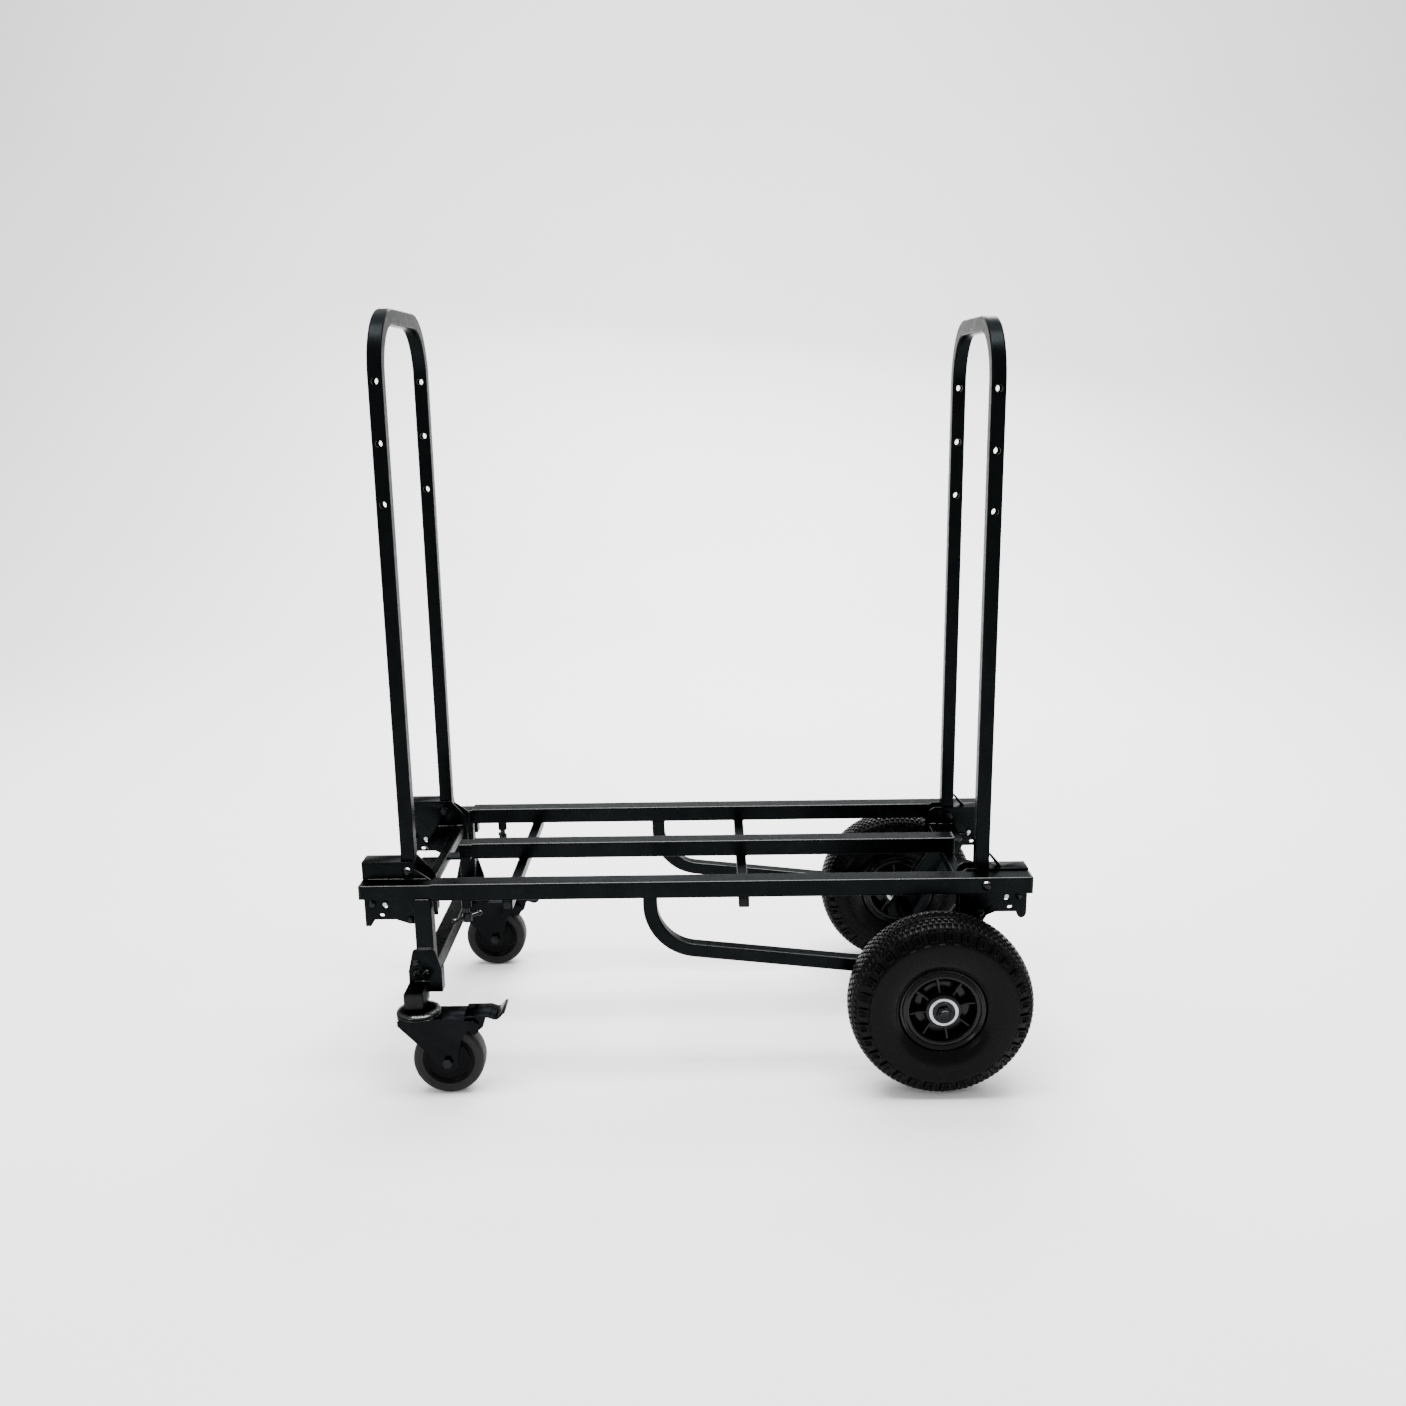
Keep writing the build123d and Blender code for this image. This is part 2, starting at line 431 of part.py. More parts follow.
# brake pedal: rolled tread plate, cheeks inside the fork, shoe over the tyre
pz = 118.2
prof = [(67.0, pz), (100.0, pz + 0.4), (106.0, pz - 1.6), (110.0, pz - 3.0), (114.5, pz - 2.4), (118.5, pz + 0.8), (122.0, pz + 5.0), (125.0, pz + 7.0),
        (123.6, pz + 9.3), (120.2, pz + 7.8), (116.6, pz + 3.4), (113.6, pz + 0.2), (110.2, pz - 0.4), (106.6, pz + 1.0), (101.0, pz + 3.0), (67.0, pz + 2.6)]
pedal = plate_xz(prof, -20.5, 20.5)
cheek_pts = [(69.0, pz + 1.0), (98.0, pz + 1.0), (93.0, 103.0), (86.0, 97.0), (76.0, 100.0), (70.0, 106.0)]
for s in (-1, 1):
    y0, y1 = sorted((s * 14.6, s * 17.4))
    pedal += plate_xz(cheek_pts, y0, y1)
pedal += plate_xz([(71.8, 95.1), (79.3, 89.0), (85.5, 94.0), (86.0, 99.0), (80.0, 102.0), (74.0, 101.0)], -15.0, 15.0)
pedal += cyl_y(pedal_px, pedal_pz, 3.0, -23.5, 23.5)
pedal += cyl_y(pedal_px, pedal_pz, 5.0, -23.5, -21.7) + cyl_y(pedal_px, pedal_pz, 5.0, 21.7, 23.5)
both("brake_pedal", Pos(stub_x, -stub_y, 0) * pedal)

# -------------------------------------------------------------------- export
os.makedirs("parts", exist_ok=True)
for name, shape in parts.items():
    solids = list(shape.solids())
    out = solids[0] if len(solids) == 1 else Compound(solids)
    out.label = name
    export_step(out, f"parts/{name}.step")
print(len(parts), "nodes")
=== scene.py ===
import bpy
import bmesh
import json
import math
import random
from mathutils import Matrix, Vector

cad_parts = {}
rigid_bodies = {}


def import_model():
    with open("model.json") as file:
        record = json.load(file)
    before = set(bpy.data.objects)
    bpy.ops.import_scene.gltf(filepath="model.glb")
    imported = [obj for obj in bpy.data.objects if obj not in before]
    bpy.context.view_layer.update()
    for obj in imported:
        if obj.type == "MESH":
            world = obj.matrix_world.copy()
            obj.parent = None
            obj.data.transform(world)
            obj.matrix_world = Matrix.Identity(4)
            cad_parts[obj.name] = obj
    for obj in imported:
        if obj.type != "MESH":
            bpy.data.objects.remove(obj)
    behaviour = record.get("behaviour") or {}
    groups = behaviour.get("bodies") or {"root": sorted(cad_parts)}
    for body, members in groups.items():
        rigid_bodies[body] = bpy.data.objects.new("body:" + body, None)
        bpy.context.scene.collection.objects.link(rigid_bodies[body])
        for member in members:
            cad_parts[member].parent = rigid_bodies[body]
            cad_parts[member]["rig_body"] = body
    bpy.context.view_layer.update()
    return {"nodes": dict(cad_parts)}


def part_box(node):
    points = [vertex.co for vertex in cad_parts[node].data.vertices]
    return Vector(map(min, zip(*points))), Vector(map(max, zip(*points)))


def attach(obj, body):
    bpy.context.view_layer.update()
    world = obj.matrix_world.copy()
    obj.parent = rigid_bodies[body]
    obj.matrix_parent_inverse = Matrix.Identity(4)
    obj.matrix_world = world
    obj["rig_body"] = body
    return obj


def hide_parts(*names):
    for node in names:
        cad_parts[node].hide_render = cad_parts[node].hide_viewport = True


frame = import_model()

random.seed(11)
NODES = frame["nodes"]
BODY = {n: o["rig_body"] for n, o in NODES.items()}
SIDES = (("near", -1.0), ("far", 1.0))


# ------------------------------------------------------------------ materials
def new_mat(name):
    m = bpy.data.materials.new(name)
    m.use_nodes = True
    nt = m.node_tree
    return m, nt, nt.nodes["Principled BSDF"]


def ramp(nt, src, stops):
    r = nt.nodes.new("ShaderNodeValToRGB")
    e = r.color_ramp.elements
    e[0].position, e[0].color = stops[0][0], tuple(stops[0][1]) + (1,)
    e[1].position, e[1].color = stops[-1][0], tuple(stops[-1][1]) + (1,)
    for p, c in stops[1:-1]:
        k = e.new(p)
        k.color = tuple(c) + (1,)
    nt.links.new(src, r.inputs[0])
    return r.outputs[0]


def noise(nt, scale, detail=3.0, rough=0.5):
    c = nt.nodes.new("ShaderNodeTexCoord")
    n = nt.nodes.new("ShaderNodeTexNoise")
    n.inputs["Scale"].default_value = scale
    n.inputs["Detail"].default_value = detail
    n.inputs["Roughness"].default_value = rough
    nt.links.new(c.outputs["Object"], n.inputs["Vector"])
    return n.outputs[0]


def to_range(nt, src, lo, hi, a=0.3, b=0.7):
    m = nt.nodes.new("ShaderNodeMapRange")
    m.inputs["From Min"].default_value = a
    m.inputs["From Max"].default_value = b
    m.inputs["To Min"].default_value = lo
    m.inputs["To Max"].default_value = hi
    nt.links.new(src, m.inputs["Value"])
    return m.outputs[0]


def bump(nt, b, pairs):
    """Chain of bumps: (height output, strength, distance in metres)."""
    last = None
    for src, strength, dist in pairs:
        n = nt.nodes.new("ShaderNodeBump")
        n.inputs["Strength"].default_value = strength
        n.inputs["Distance"].default_value = dist
        nt.links.new(src, n.inputs["Height"])
        if last is not None:
            nt.links.new(last, n.inputs["Normal"])
        last = n.outputs[0]
    nt.links.new(last, b.inputs["Normal"])


def surface(name, dark, light, r_lo, r_hi, tint=35.0, grain=900.0, peel=180.0, strength=0.25, metal=0.0, spec=0.5, edge=1.0, painted_highlight=None):
    m, nt, b = new_mat(name)
    n1 = noise(nt, tint, 4.0, 0.6)
    col = ramp(nt, n1, [(0.3, dark), (0.7, light)])
    if painted_highlight:
        # painted highlight: upward-facing rounded edges get a lighter base colour, standing in for the thin
        # highlights a lamp leaves there
        c = nt.nodes.new("ShaderNodeTexCoord")
        x = nt.nodes.new("ShaderNodeSeparateXYZ")
        nt.links.new(c.outputs["Normal"], x.inputs[0])
        band = ramp(nt, x.outputs[2], [(0.46, (0, 0, 0)), (0.60, (1, 1, 1)), (0.84, (1, 1, 1)), (0.92, (0, 0, 0))])
        mix = nt.nodes.new("ShaderNodeMix")
        mix.data_type = "RGBA"
        nt.links.new(band, mix.inputs[0])
        nt.links.new(col, mix.inputs[6])
        mix.inputs[7].default_value = (painted_highlight, painted_highlight, painted_highlight, 1)
        col = mix.outputs[2]
    nt.links.new(col, b.inputs["Base Color"])
    nt.links.new(to_range(nt, noise(nt, tint * 2.3, 5.0, 0.6), r_lo, r_hi), b.inputs["Roughness"])
    b.inputs["Metallic"].default_value = metal
    b.inputs["Specular IOR Level"].default_value = spec
    b.inputs["Specular Tint"].default_value = (edge, edge, edge, 1.0)
    bump(nt, b, [(noise(nt, peel, 2.0), strength, 0.0004), (noise(nt, grain, 3.0), strength * 0.6, 0.00015)])
    return m


MAT = {
    # powder_coat, gloss_paint and black_oxide_steel carry the painted edge highlight on upward rounded edges;
    # powder_coat_plain is the same coat without it
    "powder_coat": surface("powder_coat", (0.0034, 0.0041, 0.0044), (0.0048, 0.0057, 0.0060), 0.24, 0.34, metal=1.0, edge=0.50, strength=0.07, painted_highlight=0.055),
    "powder_coat_plain": surface("powder_coat_plain", (0.0034, 0.0041, 0.0044), (0.0048, 0.0057, 0.0060), 0.24, 0.34, metal=1.0, edge=0.50, strength=0.07),
    "gloss_paint": surface("gloss_paint", (0.0036, 0.0040, 0.0046), (0.0050, 0.0055, 0.0062), 0.15, 0.24, metal=1.0, edge=0.50, strength=0.05, painted_highlight=0.05),
    "zinc": surface("zinc_plate", (0.26, 0.28, 0.285), (0.40, 0.425, 0.43), 0.22, 0.36, tint=90.0, metal=1.0, strength=0.08),
    "dark_steel": surface("black_oxide_steel", (0.008, 0.0085, 0.009), (0.015, 0.0155, 0.016), 0.12, 0.20, tint=120.0, metal=1.0, edge=0.5, strength=0.05, painted_highlight=0.20),
    "tyre": surface("tyre_rubber", (0.0005, 0.0005, 0.0006), (0.0009, 0.0009, 0.0010), 0.22, 0.32, tint=60.0, grain=1400.0, peel=320.0, strength=0.06, spec=0.06),
    "rim_plastic": surface("rim_plastic", (0.0012, 0.0013, 0.0015), (0.0020, 0.0021, 0.0024), 0.14, 0.22, tint=50.0, strength=0.05, spec=0.15),
    "caster_tread": surface("caster_rubber", (0.0048, 0.0048, 0.0050), (0.0078, 0.0078, 0.0082), 0.50, 0.66, tint=80.0, grain=1600.0, strength=0.15, spec=0.16),
    "core_plastic": surface("core_plastic", (0.0005, 0.0005, 0.0006), (0.0008, 0.0008, 0.0010), 0.24, 0.34, tint=70.0, strength=0.08, spec=0.04),
    "plug_plastic": surface("plug_plastic", (0.0032, 0.0035, 0.0033), (0.0055, 0.0058, 0.0055), 0.34, 0.46, tint=90.0, strength=0.10, spec=0.10),
    "cap_plastic": surface("cap_plastic", (0.0020, 0.0021, 0.0023), (0.0035, 0.0036, 0.0039), 0.42, 0.55, tint=70.0, strength=0.15, spec=0.12),
}


def mat_of(n):
    if n.startswith("tyre"):
        return "tyre"
    if n.startswith("rim"):
        return "rim_plastic"
    if n.startswith("caster_core"):
        return "core_plastic"
    if n.startswith("caster_tread"):
        return "caster_tread"
    if "end_caps" in n:
        return "cap_plastic"
    if n.startswith(("caster_fork", "brake_pedal", "swivel_head")):
        return "gloss_paint"
    if n.startswith(("axle_nuts", "axle_shaft", "clamp_screw", "caster_axle")) or "bolts" in n:
        return "dark_steel"
    if n.startswith("wheel_bearings") or "latch_" in n:
        return "zinc"
    if n in ("front_handle", "rear_handle"):
        return "powder_coat_plain"
    return "powder_coat"


def paint(obj, key):
    obj.data.materials.clear()
    obj.data.materials.append(MAT[key])
    return obj


for n, o in NODES.items():
    paint(o, mat_of(n))


# -------------------------------------------------------------------- helpers
def finish_piece(obj, key, body, *replaced):
    paint(obj, key)
    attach(obj, body)
    if replaced:
        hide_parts(*replaced)
    return obj


def from_bmesh(bm, name, smooth=35.0):
    me = bpy.data.meshes.new(name)
    bm.normal_update()
    bm.to_mesh(me)
    bm.free()
    o = bpy.data.objects.new(name, me)
    bpy.context.scene.collection.objects.link(o)
    if smooth:
        me.shade_smooth()
        me.set_sharp_from_angle(angle=math.radians(smooth))
    return o


def softened(node, width=0.0009, segments=3):
    """Copy of a CAD piece with small rounded edges."""
    bm = bmesh.new()
    bm.from_mesh(NODES[node].data)
    bmesh.ops.remove_doubles(bm, verts=bm.verts, dist=1e-6)
    bmesh.ops.dissolve_limit(bm, angle_limit=math.radians(0.6), verts=bm.verts, edges=bm.edges)
    o = from_bmesh(bm, node + "_soft_edges", 0)
    o.data.materials.clear()
    bev = o.modifiers.new("edge", "BEVEL")
    bev.width = width
    bev.segments = segments
    bev.limit_method = "ANGLE"
    bev.angle_limit = math.radians(50)
    bev.use_clamp_overlap = True
    bev.harden_normals = False
    dg = bpy.context.evaluated_depsgraph_get()
    me = bpy.data.meshes.new_from_object(o.evaluated_get(dg))
    o.modifiers.clear()
    o.data = me
    me.shade_smooth()
    me.set_sharp_from_angle(angle=math.radians(38))
    return finish_piece(o, mat_of(node), BODY[node], node)


def lathe_y(bm, prof, x, y, z, n, out):
    """Closed revolve of (radius, outboard offset) points about a Y axis line; out is -1 or 1."""
    rings = []
    for r, a in prof:
        ring = []
        for k in range(n):
            t = 2 * math.pi * k / n
            ring.append(bm.verts.new((x + r * math.cos(t), y + out * a, z + r * math.sin(t))))
        rings.append(ring)
    m = len(rings)
    for i in range(m):
        a, b = rings[i], rings[(i + 1) % m]
        for k in range(n):
            bm.faces.new((a[k], a[(k + 1) % n], b[(k + 1) % n], b[k]))


def smooth_profile(pts, step):
    """Centripetal-ish Catmull-Rom through the points, sampled about every step metres."""
    out = []
    for i in range(len(pts) - 1):
        p0 = Vector(pts[max(i - 1, 0)])
        p1, p2 = Vector(pts[i]), Vector(pts[i + 1])
        p3 = Vector(pts[min(i + 2, len(pts) - 1)])
        k = max(1, int(round((p2 - p1).length / step)))
        for j in range(k):
            t = j / k
            q = 0.5 * ((2 * p1) + (p2 - p0) * t + (2 * p0 - 5 * p1 + 4 * p2 - p3) * t * t + (3 * p1 - p0 - 3 * p2 + p3) * t ** 3)
            out.append(q)
    out.append(Vector(pts[-1]))
    return out


def sstep(a, b, x):
    t = min(1.0, max(0.0, (x - a) / (b - a)))
    return t * t * (3 - 2 * t)


# ---------------------------------------------------------------- large tyres
MM = 0.001
half = [(60.8, 26.8), (61.4, 31.0), (66.0, 35.2), (74.0, 39.6), (84.0, 42.1), (94.0, 42.4), (103.0, 41.4), (112.0, 38.0), (119.0, 34.0),
        (124.5, 28.0), (128.0, 19.0), (129.6, 9.0), (130.0, 0.0)]
LUGS = 31


def groove(x, half_width, edge):
    """1 in the middle of a groove at x = 0, 0 outside it."""
    return 1.0 - sstep(half_width - edge, half_width + edge, abs(x))


def tyre_depth(theta, r, a):
    """How far the surface lies below the carcass there, mm. a is the distance from the middle plane."""
    d = 0.0
    aa = abs(a)
    turn = theta / (2 * math.pi)
    u = turn * LUGS + (0.0 if a > 0 else 0.5)
    f = u - math.floor(u)
    if r < 103.0:
        return 0.5 * groove(r - 64.6, 0.8, 0.5)
    # the sidewall panel ends in a step, outside which the lugs stand in a lower band
    d += 1.6 * sstep(103.2, 104.3, r) * (1 - sstep(105.0, 106.3, r))
    lugs = sstep(105.0, 106.3, r) * sstep(32.0, 33.6, aa)
    if lugs > 0:
        arc = 2 * math.pi * r / LUGS
        lug_half = 0.31 * arc
        q = (f - 0.5) * arc
        gap = sstep(lug_half - 0.5, lug_half + 0.6, abs(q))
        d = max(d, 4.2 * gap * lugs)
        for c in (-0.42, 0.0, 0.42):
            d = max(d, 1.5 * groove(q - c * lug_half, 0.85, 0.55) * sstep(107.0, 108.2, r) * (1 - sstep(117.5, 119.0, r)))
    # studded tread between the lug rows
    d = max(d, 2.6 * groove(aa - 32.2, 1.2, 0.6) * sstep(104.0, 106.0, r))
    if aa < 32.0 and r > 104.0:
        rows = 9
        w = 64.0 / rows
        v = (a + 32.0) / w
        row = int(math.floor(v))
        v -= row
        g = 3 * turn * LUGS + (0.5 if row % 2 else 0.0)
        h = g - math.floor(g)
        pitch = 2 * math.pi * r / (3 * LUGS)
        d = max(d, 2.3 * groove((h - 0.5) * pitch, 1.3, 0.7), 2.3 * groove((v if v < 0.5 else v - 1) * w, 1.1, 0.7))
    return d


def tyre(side, s):
    n = LUGS * 27
    prof = smooth_profile(half, 1.15)
    prof = prof + [Vector((p.x, -p.y)) for p in reversed(prof[:-1])]
    normals = []
    for i, p in enumerate(prof):
        t = prof[min(i + 1, len(prof) - 1)] - prof[max(i - 1, 0)]
        nrm = Vector((-t.y, t.x)).normalized()
        if nrm.dot(p - Vector((95.0, 0.0))) < 0:
            nrm = -nrm
        normals.append(nrm)
    x, y, z = 0.342, s * 0.227, 0.130
    bm = bmesh.new()
    rings = []
    for p, nrm in zip(prof, normals):
        ring = []
        for k in range(n):
            t = 2 * math.pi * k / n
            q = p - nrm * tyre_depth(t, p.x, p.y)
            ring.append(bm.verts.new((x + q.x * MM * math.cos(t), y + s * q.y * MM, z + q.x * MM * math.sin(t))))
        rings.append(ring)
    for a in (-26.8, 26.8):
        rings.append([bm.verts.new((x + 50.2 * MM * math.cos(2 * math.pi * k / n), y + s * a * MM, z + 50.2 * MM * math.sin(2 * math.pi * k / n))) for k in range(n)])
    for i in range(len(rings)):
        a, b = rings[i], rings[(i + 1) % len(rings)]
        for k in range(n):
            bm.faces.new((a[k], a[(k + 1) % n], b[(k + 1) % n], b[k]))
    bmesh.ops.recalc_face_normals(bm, faces=bm.faces)
    o = from_bmesh(bm, "tyre_tread_" + side, 32)
    finish_piece(o, "tyre", "wheel_" + side, "tyre_" + side)


# ------------------------------------------------------------------ large rims
def rim(side, s):
    x, y, z = 0.342, s * 0.227, 0.130
    bm = bmesh.new()
    one = [(17.6, 32.9), (18.4, 33.0), (23.0, 33.0), (24.0, 32.2), (24.6, 22.0), (25.6, 13.0), (28.2, 9.2), (32.0, 8.2), (37.0, 8.4), (40.8, 10.0), (43.6, 13.4), (45.2, 18.6), (45.7, 24.0), (46.2, 27.8), (47.6, 29.9), (49.6, 30.7),
           (51.6, 30.1), (53.2, 28.4), (54.8, 27.9), (56.4, 28.7), (57.6, 30.3), (58.9, 30.9), (60.1, 30.2), (60.5, 28.8), (60.2, 27.4), (59.5, 27.0), (50.1, 27.0)]
    prof = [(r * MM, a * MM) for r, a in one]
    prof += [(r * MM, -a * MM) for r, a in reversed([(r, a if a < 32 else a + 1.9) for r, a in one])]
    lathe_y(bm, prof, x, y, z, 144, s)
    bmesh.ops.recalc_face_normals(bm, faces=bm.faces)
    # eight webs on each face, thin and slightly tapered
    for k in range(8):
        t0 = math.radians(10.0 + 45.0 * k)
        for face in (1, -1):
            ax, tx = Vector((math.cos(t0), 0, math.sin(t0))), Vector((-math.sin(t0), 0, math.cos(t0)))
            vs = []
            for r, a0, a1, w in ((23.5, 7.0, 25.0, 1.5), (34.0, 7.0, 21.5, 1.3), (46.0, 7.0, 24.0, 1.5)):
                for aa, ww in ((a0, w * 1.25), (a1 - 0.5, w), (a1, w * 0.45)):
                    for sg in (-1, 1):
                        p = Vector((x, y, z)) + ax * r * MM + tx * sg * ww * MM + Vector((0, s * face * aa * MM, 0))
                        vs.append(bm.verts.new(p))
            fs = []
            for i in range(2):
                b0, b1 = vs[6 * i:6 * i + 6], vs[6 * i + 6:6 * i + 12]
                loop = (0, 2, 4, 5, 3, 1)
                for j in range(6):
                    p, q = loop[j], loop[(j + 1) % 6]
                    fs.append(bm.faces.new((b0[p], b0[q], b1[q], b1[p])))
            fs.append(bm.faces.new([vs[j] for j in (0, 2, 4, 5, 3, 1)]))
            fs.append(bm.faces.new([vs[12 + j] for j in (1, 3, 5, 4, 2, 0)]))
            bmesh.ops.recalc_face_normals(bm, faces=fs)
    o = from_bmesh(bm, "rim_moulding_" + side, 40)
    finish_piece(o, "rim_plastic", "wheel_" + side, "rim_" + side)


# --------------------------------------------------------------- caster wheels
def caster_wheel(side, s):
    x, y, z = -0.353, s * 0.218, 0.0508
    bm = bmesh.new()
    h = [(36.6, 13.4), (37.4, 14.3), (39.0, 14.9), (40.2, 14.6), (41.0, 15.0), (43.0, 15.8), (46.0, 16.0), (48.2, 15.2), (49.6, 13.4), (50.4, 10.6), (50.8, 6.0)]
    prof = [(r * MM, a * MM) for r, a in h] + [(r * MM, -a * MM) for r, a in reversed(h)]
    lathe_y(bm, prof, x, y, z, 144, s)
    bmesh.ops.recalc_face_normals(bm, faces=bm.faces)
    finish_piece(from_bmesh(bm, "caster_tyre_" + side, 40), "caster_tread", "caster_wheel_" + side, "caster_tread_" + side)
    bm = bmesh.new()
    h = [(4.1, 17.3), (11.0, 17.4), (12.2, 16.6), (13.0, 13.8), (15.0, 12.6), (27.0, 11.6), (30.5, 12.0), (32.2, 13.6), (33.4, 14.4), (34.6, 14.3), (35.6, 13.4), (36.5, 13.2)]
    prof = [(r * MM, a * MM) for r, a in h] + [(r * MM, -a * MM) for r, a in reversed(h)]
    lathe_y(bm, prof, x, y, z, 144, s)
    bmesh.ops.recalc_face_normals(bm, faces=bm.faces)
    finish_piece(from_bmesh(bm, "caster_hub_" + side, 40), "core_plastic", "caster_wheel_" + side, "caster_core_" + side)


for side, s in SIDES:
    tyre(side, s)
    rim(side, s)
    caster_wheel(side, s)
    for n in ("front_bracket", "rear_bracket", "axle_plate", "caster_bracket", "caster_fork", "brake_pedal", "swivel_head", "wheel_bearings", "front_latch", "rear_latch"):
        softened(n + "_" + side)
for n in ("front_cross_tube", "rear_cross_tube", "axle_nuts"):
    softened(n)


# ----------------------------------------------------------------- weld beads
def bead(bm, p0, p1, r=1.5):
    """Rippled fillet from p0 to p1, mm."""
    p0, p1 = Vector(p0) * MM, Vector(p1) * MM
    d = (p1 - p0)
    n = max(6, int(d.length / 0.0007))
    ax = d.normalized()
    side = ax.orthogonal().normalized()
    up = ax.cross(side)
    last = None
    first = None
    ph = random.random() * 6
    for i in range(n + 1):
        t = i / n
        w = math.sin(math.pi * min(1.0, max(0.0, min(t, 1 - t) * n / 3.0)) / 2) if 0 < i < n else 0.25
        rr = r * MM * w * (0.86 + 0.16 * abs(math.sin(ph + t * d.length / 0.0022 * math.pi)) + 0.05 * random.random())
        ring = [bm.verts.new(p0 + d * t + (side * math.cos(a) + up * math.sin(a)) * rr) for a in [2 * math.pi * k / 10 for k in range(10)]]
        if last is None:
            first = ring
        else:
            for k in range(10):
                bm.faces.new((last[k], last[(k + 1) % 10], ring[(k + 1) % 10], ring[k]))
        last = ring
    bm.faces.new(list(reversed(first)))
    bm.faces.new(last)


rear = bmesh.new()
front = bmesh.new()
for s in (-1, 1):
    for bx in (-266.0, 69.0):
        for e in (-7.6, 7.6):
            bead(rear, (bx + e, s * 160.0, 272.4), (bx + e, s * 183.0, 272.4), 1.3)
            bead(rear, (bx + e, -s * 12.0, 272.4), (bx + e, 0, 272.4), 1.3)
        bead(rear, (bx - 6.5, s * 186.2, 272.0), (bx + 6.5, s * 186.2, 272.0), 1.2)
    bead(rear, (-74.0, s * 178.2, 272.6), (-55.0, s * 178.2, 272.6), 1.5)
    bead(rear, (-54.4, s * 160.0, 272.6), (-54.4, s * 176.0, 272.6), 1.5)
    bead(rear, (-74.6, s * 160.0, 272.6), (-74.6, s * 176.0, 272.6), 1.5)
    bead(rear, (381.0, s * 127.6, 273.0), (394.0, s * 127.6, 273.0), 1.4)
    bead(rear, (396.0, s * 127.4, 272.4), (420.0, s * 127.4, 272.4), 1.3)
    bead(rear, (384.0, s * 157.6, 272.2), (470.0, s * 157.6, 272.2), 1.1)
    bead(front, (-398.0, s * 187.0, 274.6), (-376.0, s * 187.0, 274.6), 1.6)
    bead(front, (-374.4, s * 164.0, 274.6), (-374.4, s * 184.0, 274.6), 1.4)
    bead(front, (-403.5, s * 190.2, 200.6), (-376.5, s * 190.2, 200.6), 0.9)
    bead(front, (-399.0, s * 187.2, 201.4), (-376.0, s * 187.2, 201.4), 1.5)
    bead(front, (-399.6, s * 161.8, 172.2), (-374.6, s * 161.8, 172.2), 1.4)
    bead(front, (-396.5, s * 127.6, 280.2), (-383.0, s * 127.6, 280.2), 1.4)
    bead(front, (-398.0, s * 127.4, 279.6), (-426.0, s * 127.4, 279.6), 1.2)
    bead(front, (-470.0, s * 159.4, 275.6), (-380.0, s * 159.4, 275.6), 1.0)
    bead(front, (-470.0, s * 159.6, 296.2), (-384.0, s * 159.6, 296.2), 1.0)
    bead(front, (-405.0, s * 190.2, 152.4), (-383.0, s * 190.2, 152.4), 1.5)
bead(front, (-382.2, -11.5, 275.2), (-382.2, 11.5, 275.2), 1.2)
for bm, nm, body in ((rear, "weld_beads_rear", "rear_frame"), (front, "weld_beads_front", "front_frame")):
    bmesh.ops.recalc_face_normals(bm, faces=bm.faces)
    finish_piece(from_bmesh(bm, nm, 60), "powder_coat", body)


# ---------------------------------------------------------------- brace plugs
def plug(bm, x, y, z, s, sz=11.6):
    """Domed square plug pushed into the end of a 15 mm tube."""
    rings = []
    for off, k in ((-3.0, 0.96), (0.2, 1.0), (1.1, 0.93), (1.6, 0.70), (1.8, 0.35)):
        ring = []
        for i in range(20):
            a = 2 * math.pi * (i + 0.5) / 20
            c, q = math.cos(a), math.sin(a)
            m = (abs(c) ** 6 + abs(q) ** 6) ** (-1 / 6)
            ring.append(bm.verts.new(((x + sz / 2 * k * c * m) * MM, (y + s * off) * MM, (z + sz / 2 * k * q * m) * MM)))
        rings.append(ring)
    for a, b in zip(rings, rings[1:]):
        for i in range(20):
            bm.faces.new((a[i], a[(i + 1) % 20], b[(i + 1) % 20], b[i]))
    bm.faces.new(rings[0])
    bm.faces.new(rings[-1])


bm = bmesh.new()
for s in (-1, 1):
    for bx in (-266.0, 69.0):
        plug(bm, bx, s * 186.0, 265.5, s)
bmesh.ops.recalc_face_normals(bm, faces=bm.faces)
finish_piece(from_bmesh(bm, "brace_end_plugs", 40), "cap_plastic", "rear_frame")

bm = bmesh.new()
for s in (-1, 1):
    lo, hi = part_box("caster_bracket_" + ("near" if s < 0 else "far"))
    y_end = (lo.y if s < 0 else hi.y) / MM
    sx, sz = 25.6, 22.4
    rings = []
    for off, k in ((-2.0, 0.96), (0.3, 1.0), (1.2, 0.985), (1.7, 0.93), (1.9, 0.80)):
        ring = []
        for i in range(32):
            a = 2 * math.pi * (i + 0.5) / 32
            c, q = math.cos(a), math.sin(a)
            m = (abs(c) ** 10 + abs(q) ** 10) ** (-0.1)
            ring.append(bm.verts.new(((-397.5 + sx / 2 * k * c * m) * MM, (y_end + s * off) * MM, (139.5 + sz / 2 * k * q * m) * MM)))
        rings.append(ring)
    for a, b in zip(rings, rings[1:]):
        for i in range(32):
            bm.faces.new((a[i], a[(i + 1) % 32], b[(i + 1) % 32], b[i]))
    bm.faces.new(rings[0])
    bm.faces.new(rings[-1])
bmesh.ops.recalc_face_normals(bm, faces=bm.faces)
finish_piece(from_bmesh(bm, "caster_arm_plugs", 40), "plug_plastic", "front_frame")

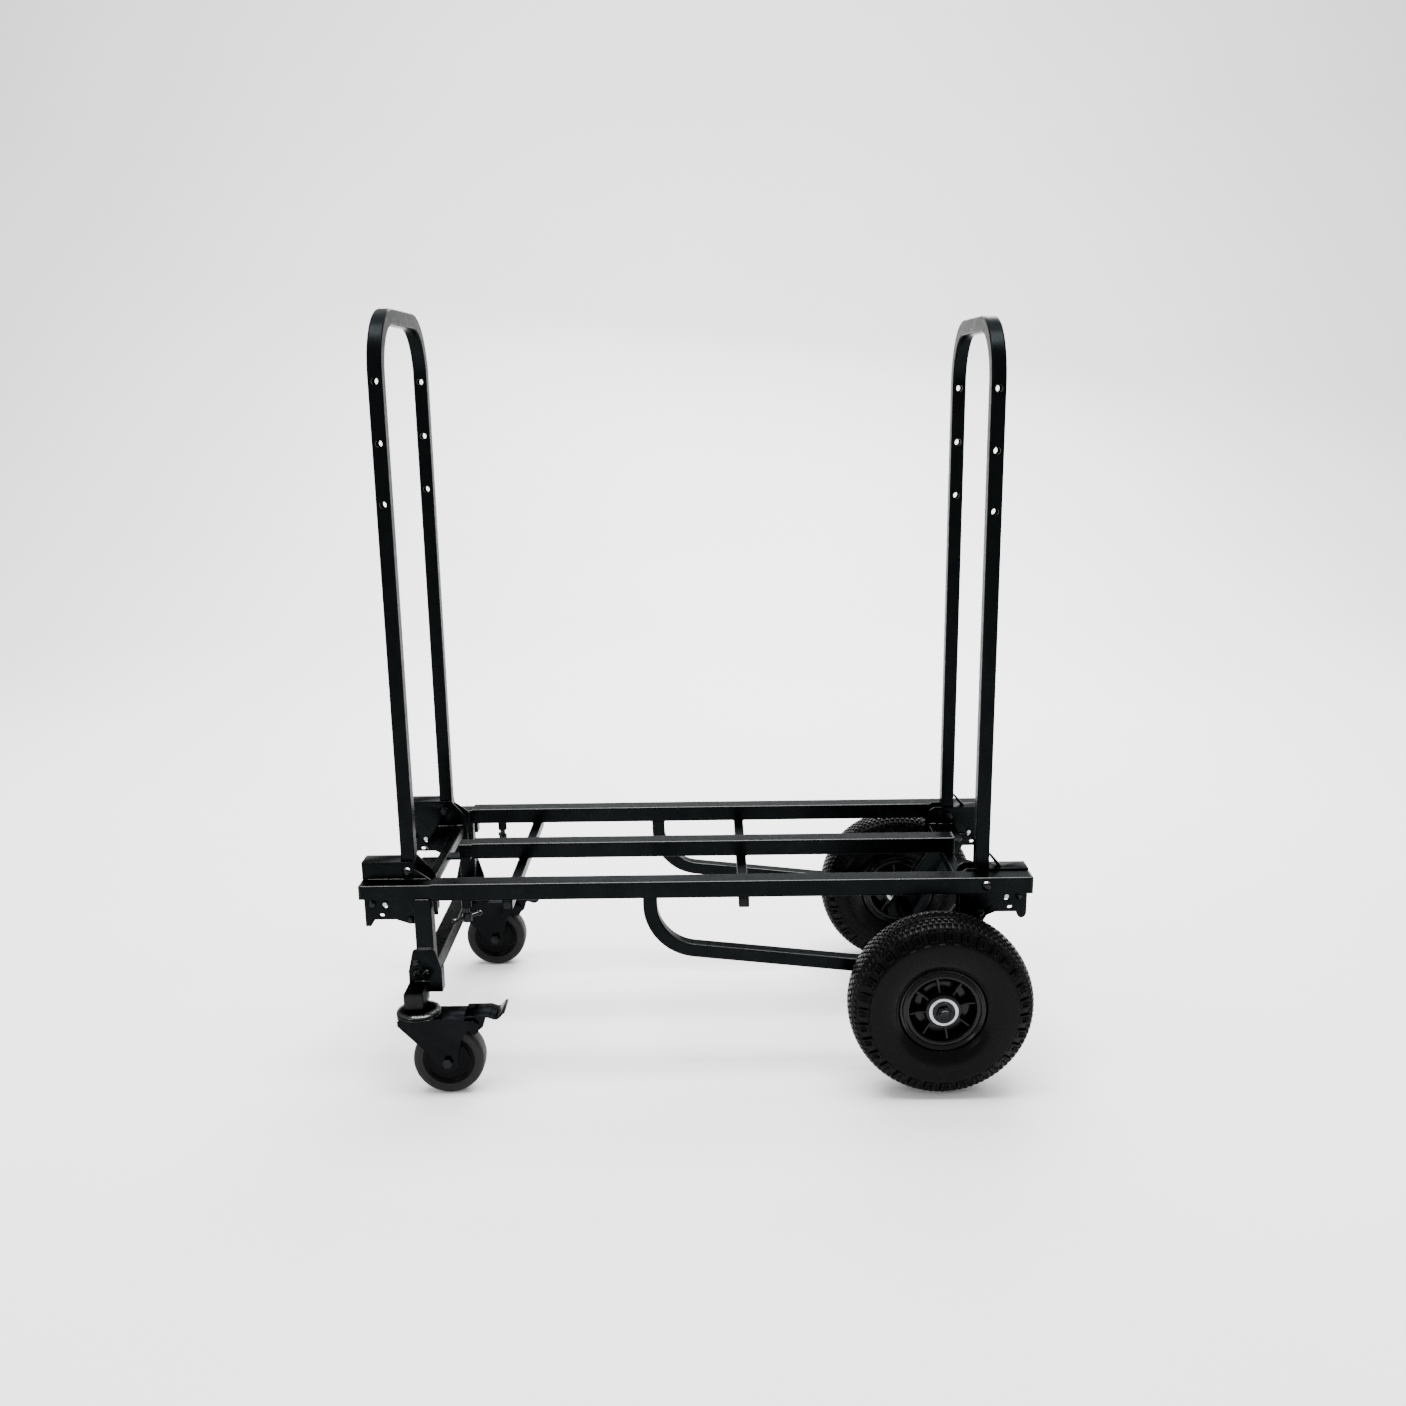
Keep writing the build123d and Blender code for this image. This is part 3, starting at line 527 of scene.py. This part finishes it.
bm = bmesh.new()
for s in (-1, 1):
    prof = [(30.4 + 0.62 * math.cos(2 * math.pi * i / 12), 117.85 + 0.62 * math.sin(2 * math.pi * i / 12)) for i in range(12)]
    rings = []
    for r, z in prof:
        rings.append([bm.verts.new(((-394.0 + r * math.cos(2 * math.pi * k / 96)) * MM, (s * 218.0 + r * math.sin(2 * math.pi * k / 96)) * MM, z * MM)) for k in range(96)])
    for i in range(12):
        a, b = rings[i], rings[(i + 1) % 12]
        for k in range(96):
            bm.faces.new((a[k], a[(k + 1) % 96], b[(k + 1) % 96], b[k]))
bmesh.ops.recalc_face_normals(bm, faces=bm.faces)
finish_piece(from_bmesh(bm, "swivel_race_rings", 60), "dark_steel", "front_frame")

# ---------------------------------------------------------------------- stage
bm = bmesh.new()
N = 24
rows = []
for i in range(N + 1):
    t = i / N
    yy = -6.0 + 12.0 * t
    zz = 0.0 if yy < 2.5 else 3.5 * (1 - math.cos(min(1.0, (yy - 2.5) / 3.5) * math.pi / 2))
    rows.append([bm.verts.new((xx, yy, zz - 0.0005)) for xx in (-8.0, 8.0)])
for a, b in zip(rows, rows[1:]):
    bm.faces.new((a[0], a[1], b[1], b[0]))
floor = from_bmesh(bm, "floor", 80)
m, nt, b = new_mat("pale_floor")
nt.links.new(ramp(nt, noise(nt, 1.5, 2.0), [(0.3, (0.90, 0.90, 0.90)), (0.7, (0.92, 0.92, 0.92))]), b.inputs["Base Color"])
b.inputs["Roughness"].default_value = 0.75
b.inputs["Specular IOR Level"].default_value = 0.2
floor.data.materials.append(m)

world = bpy.data.worlds.new("studio")
bpy.context.scene.world = world
world.use_nodes = True
bg = world.node_tree.nodes["Background"]
bg.inputs[0].default_value = (1.0, 1.0, 1.0, 1)
bg.inputs[1].default_value = 1.0


def area(name, loc, aim, size, power, size_y=None):
    d = bpy.data.lights.new(name, "AREA")
    d.energy = power
    d.shape = "RECTANGLE"
    d.size, d.size_y = size, size_y or size
    o = bpy.data.objects.new(name, d)
    bpy.context.scene.collection.objects.link(o)
    o.location = loc
    o.rotation_mode = "QUATERNION"
    o.rotation_quaternion = (Vector(aim) - Vector(loc)).to_track_quat("-Z", "Y")
    return o


area("top_box", (0.0, -0.35, 3.2), (0, 0, 0.3), 3.0, 190, 0.9)
area("fill_box", (0.0, 1.6, 3.4), (0, 0.6, 0.0), 3.4, 150, 2.0)
area("front_left_box", (-2.4, -2.6, 1.9), (0, 0, 0.45), 0.8, 18, 1.2)
area("back_box", (0.6, 3.4, 2.6), (0, 0, 0.3), 3.0, 190, 1.4)
area("wall_box", (0.0, 2.4, 4.6), (0, 6.0, 2.0), 5.0, 260, 1.2)

# --------------------------------------------------------------------- camera
yaw, pitch, roll = (math.radians(v) for v in (-0.366, 13.297, 0.853))
fwd = Vector((math.sin(yaw) * math.cos(pitch), math.cos(yaw) * math.cos(pitch), -math.sin(pitch)))
right0 = Vector((math.cos(yaw), -math.sin(yaw), 0.0))
up0 = right0.cross(fwd)
right = math.cos(roll) * right0 - math.sin(roll) * up0
up = math.sin(roll) * right0 + math.cos(roll) * up0
cd = bpy.data.cameras.new("camera")
cd.sensor_width = 36.0
cd.lens = 1335.34 / 1406.0 * 36.0
cd.clip_start, cd.clip_end = 0.05, 60.0
cam = bpy.data.objects.new("camera", cd)
bpy.context.scene.collection.objects.link(cam)
cam.rotation_mode = "QUATERNION"
cam.rotation_quaternion = Matrix((right, up, -fwd)).transposed().to_quaternion()
cam.location = (0.0265, -1.9593, 0.9748)
bpy.context.scene.camera = cam

bpy.context.view_layer.update()
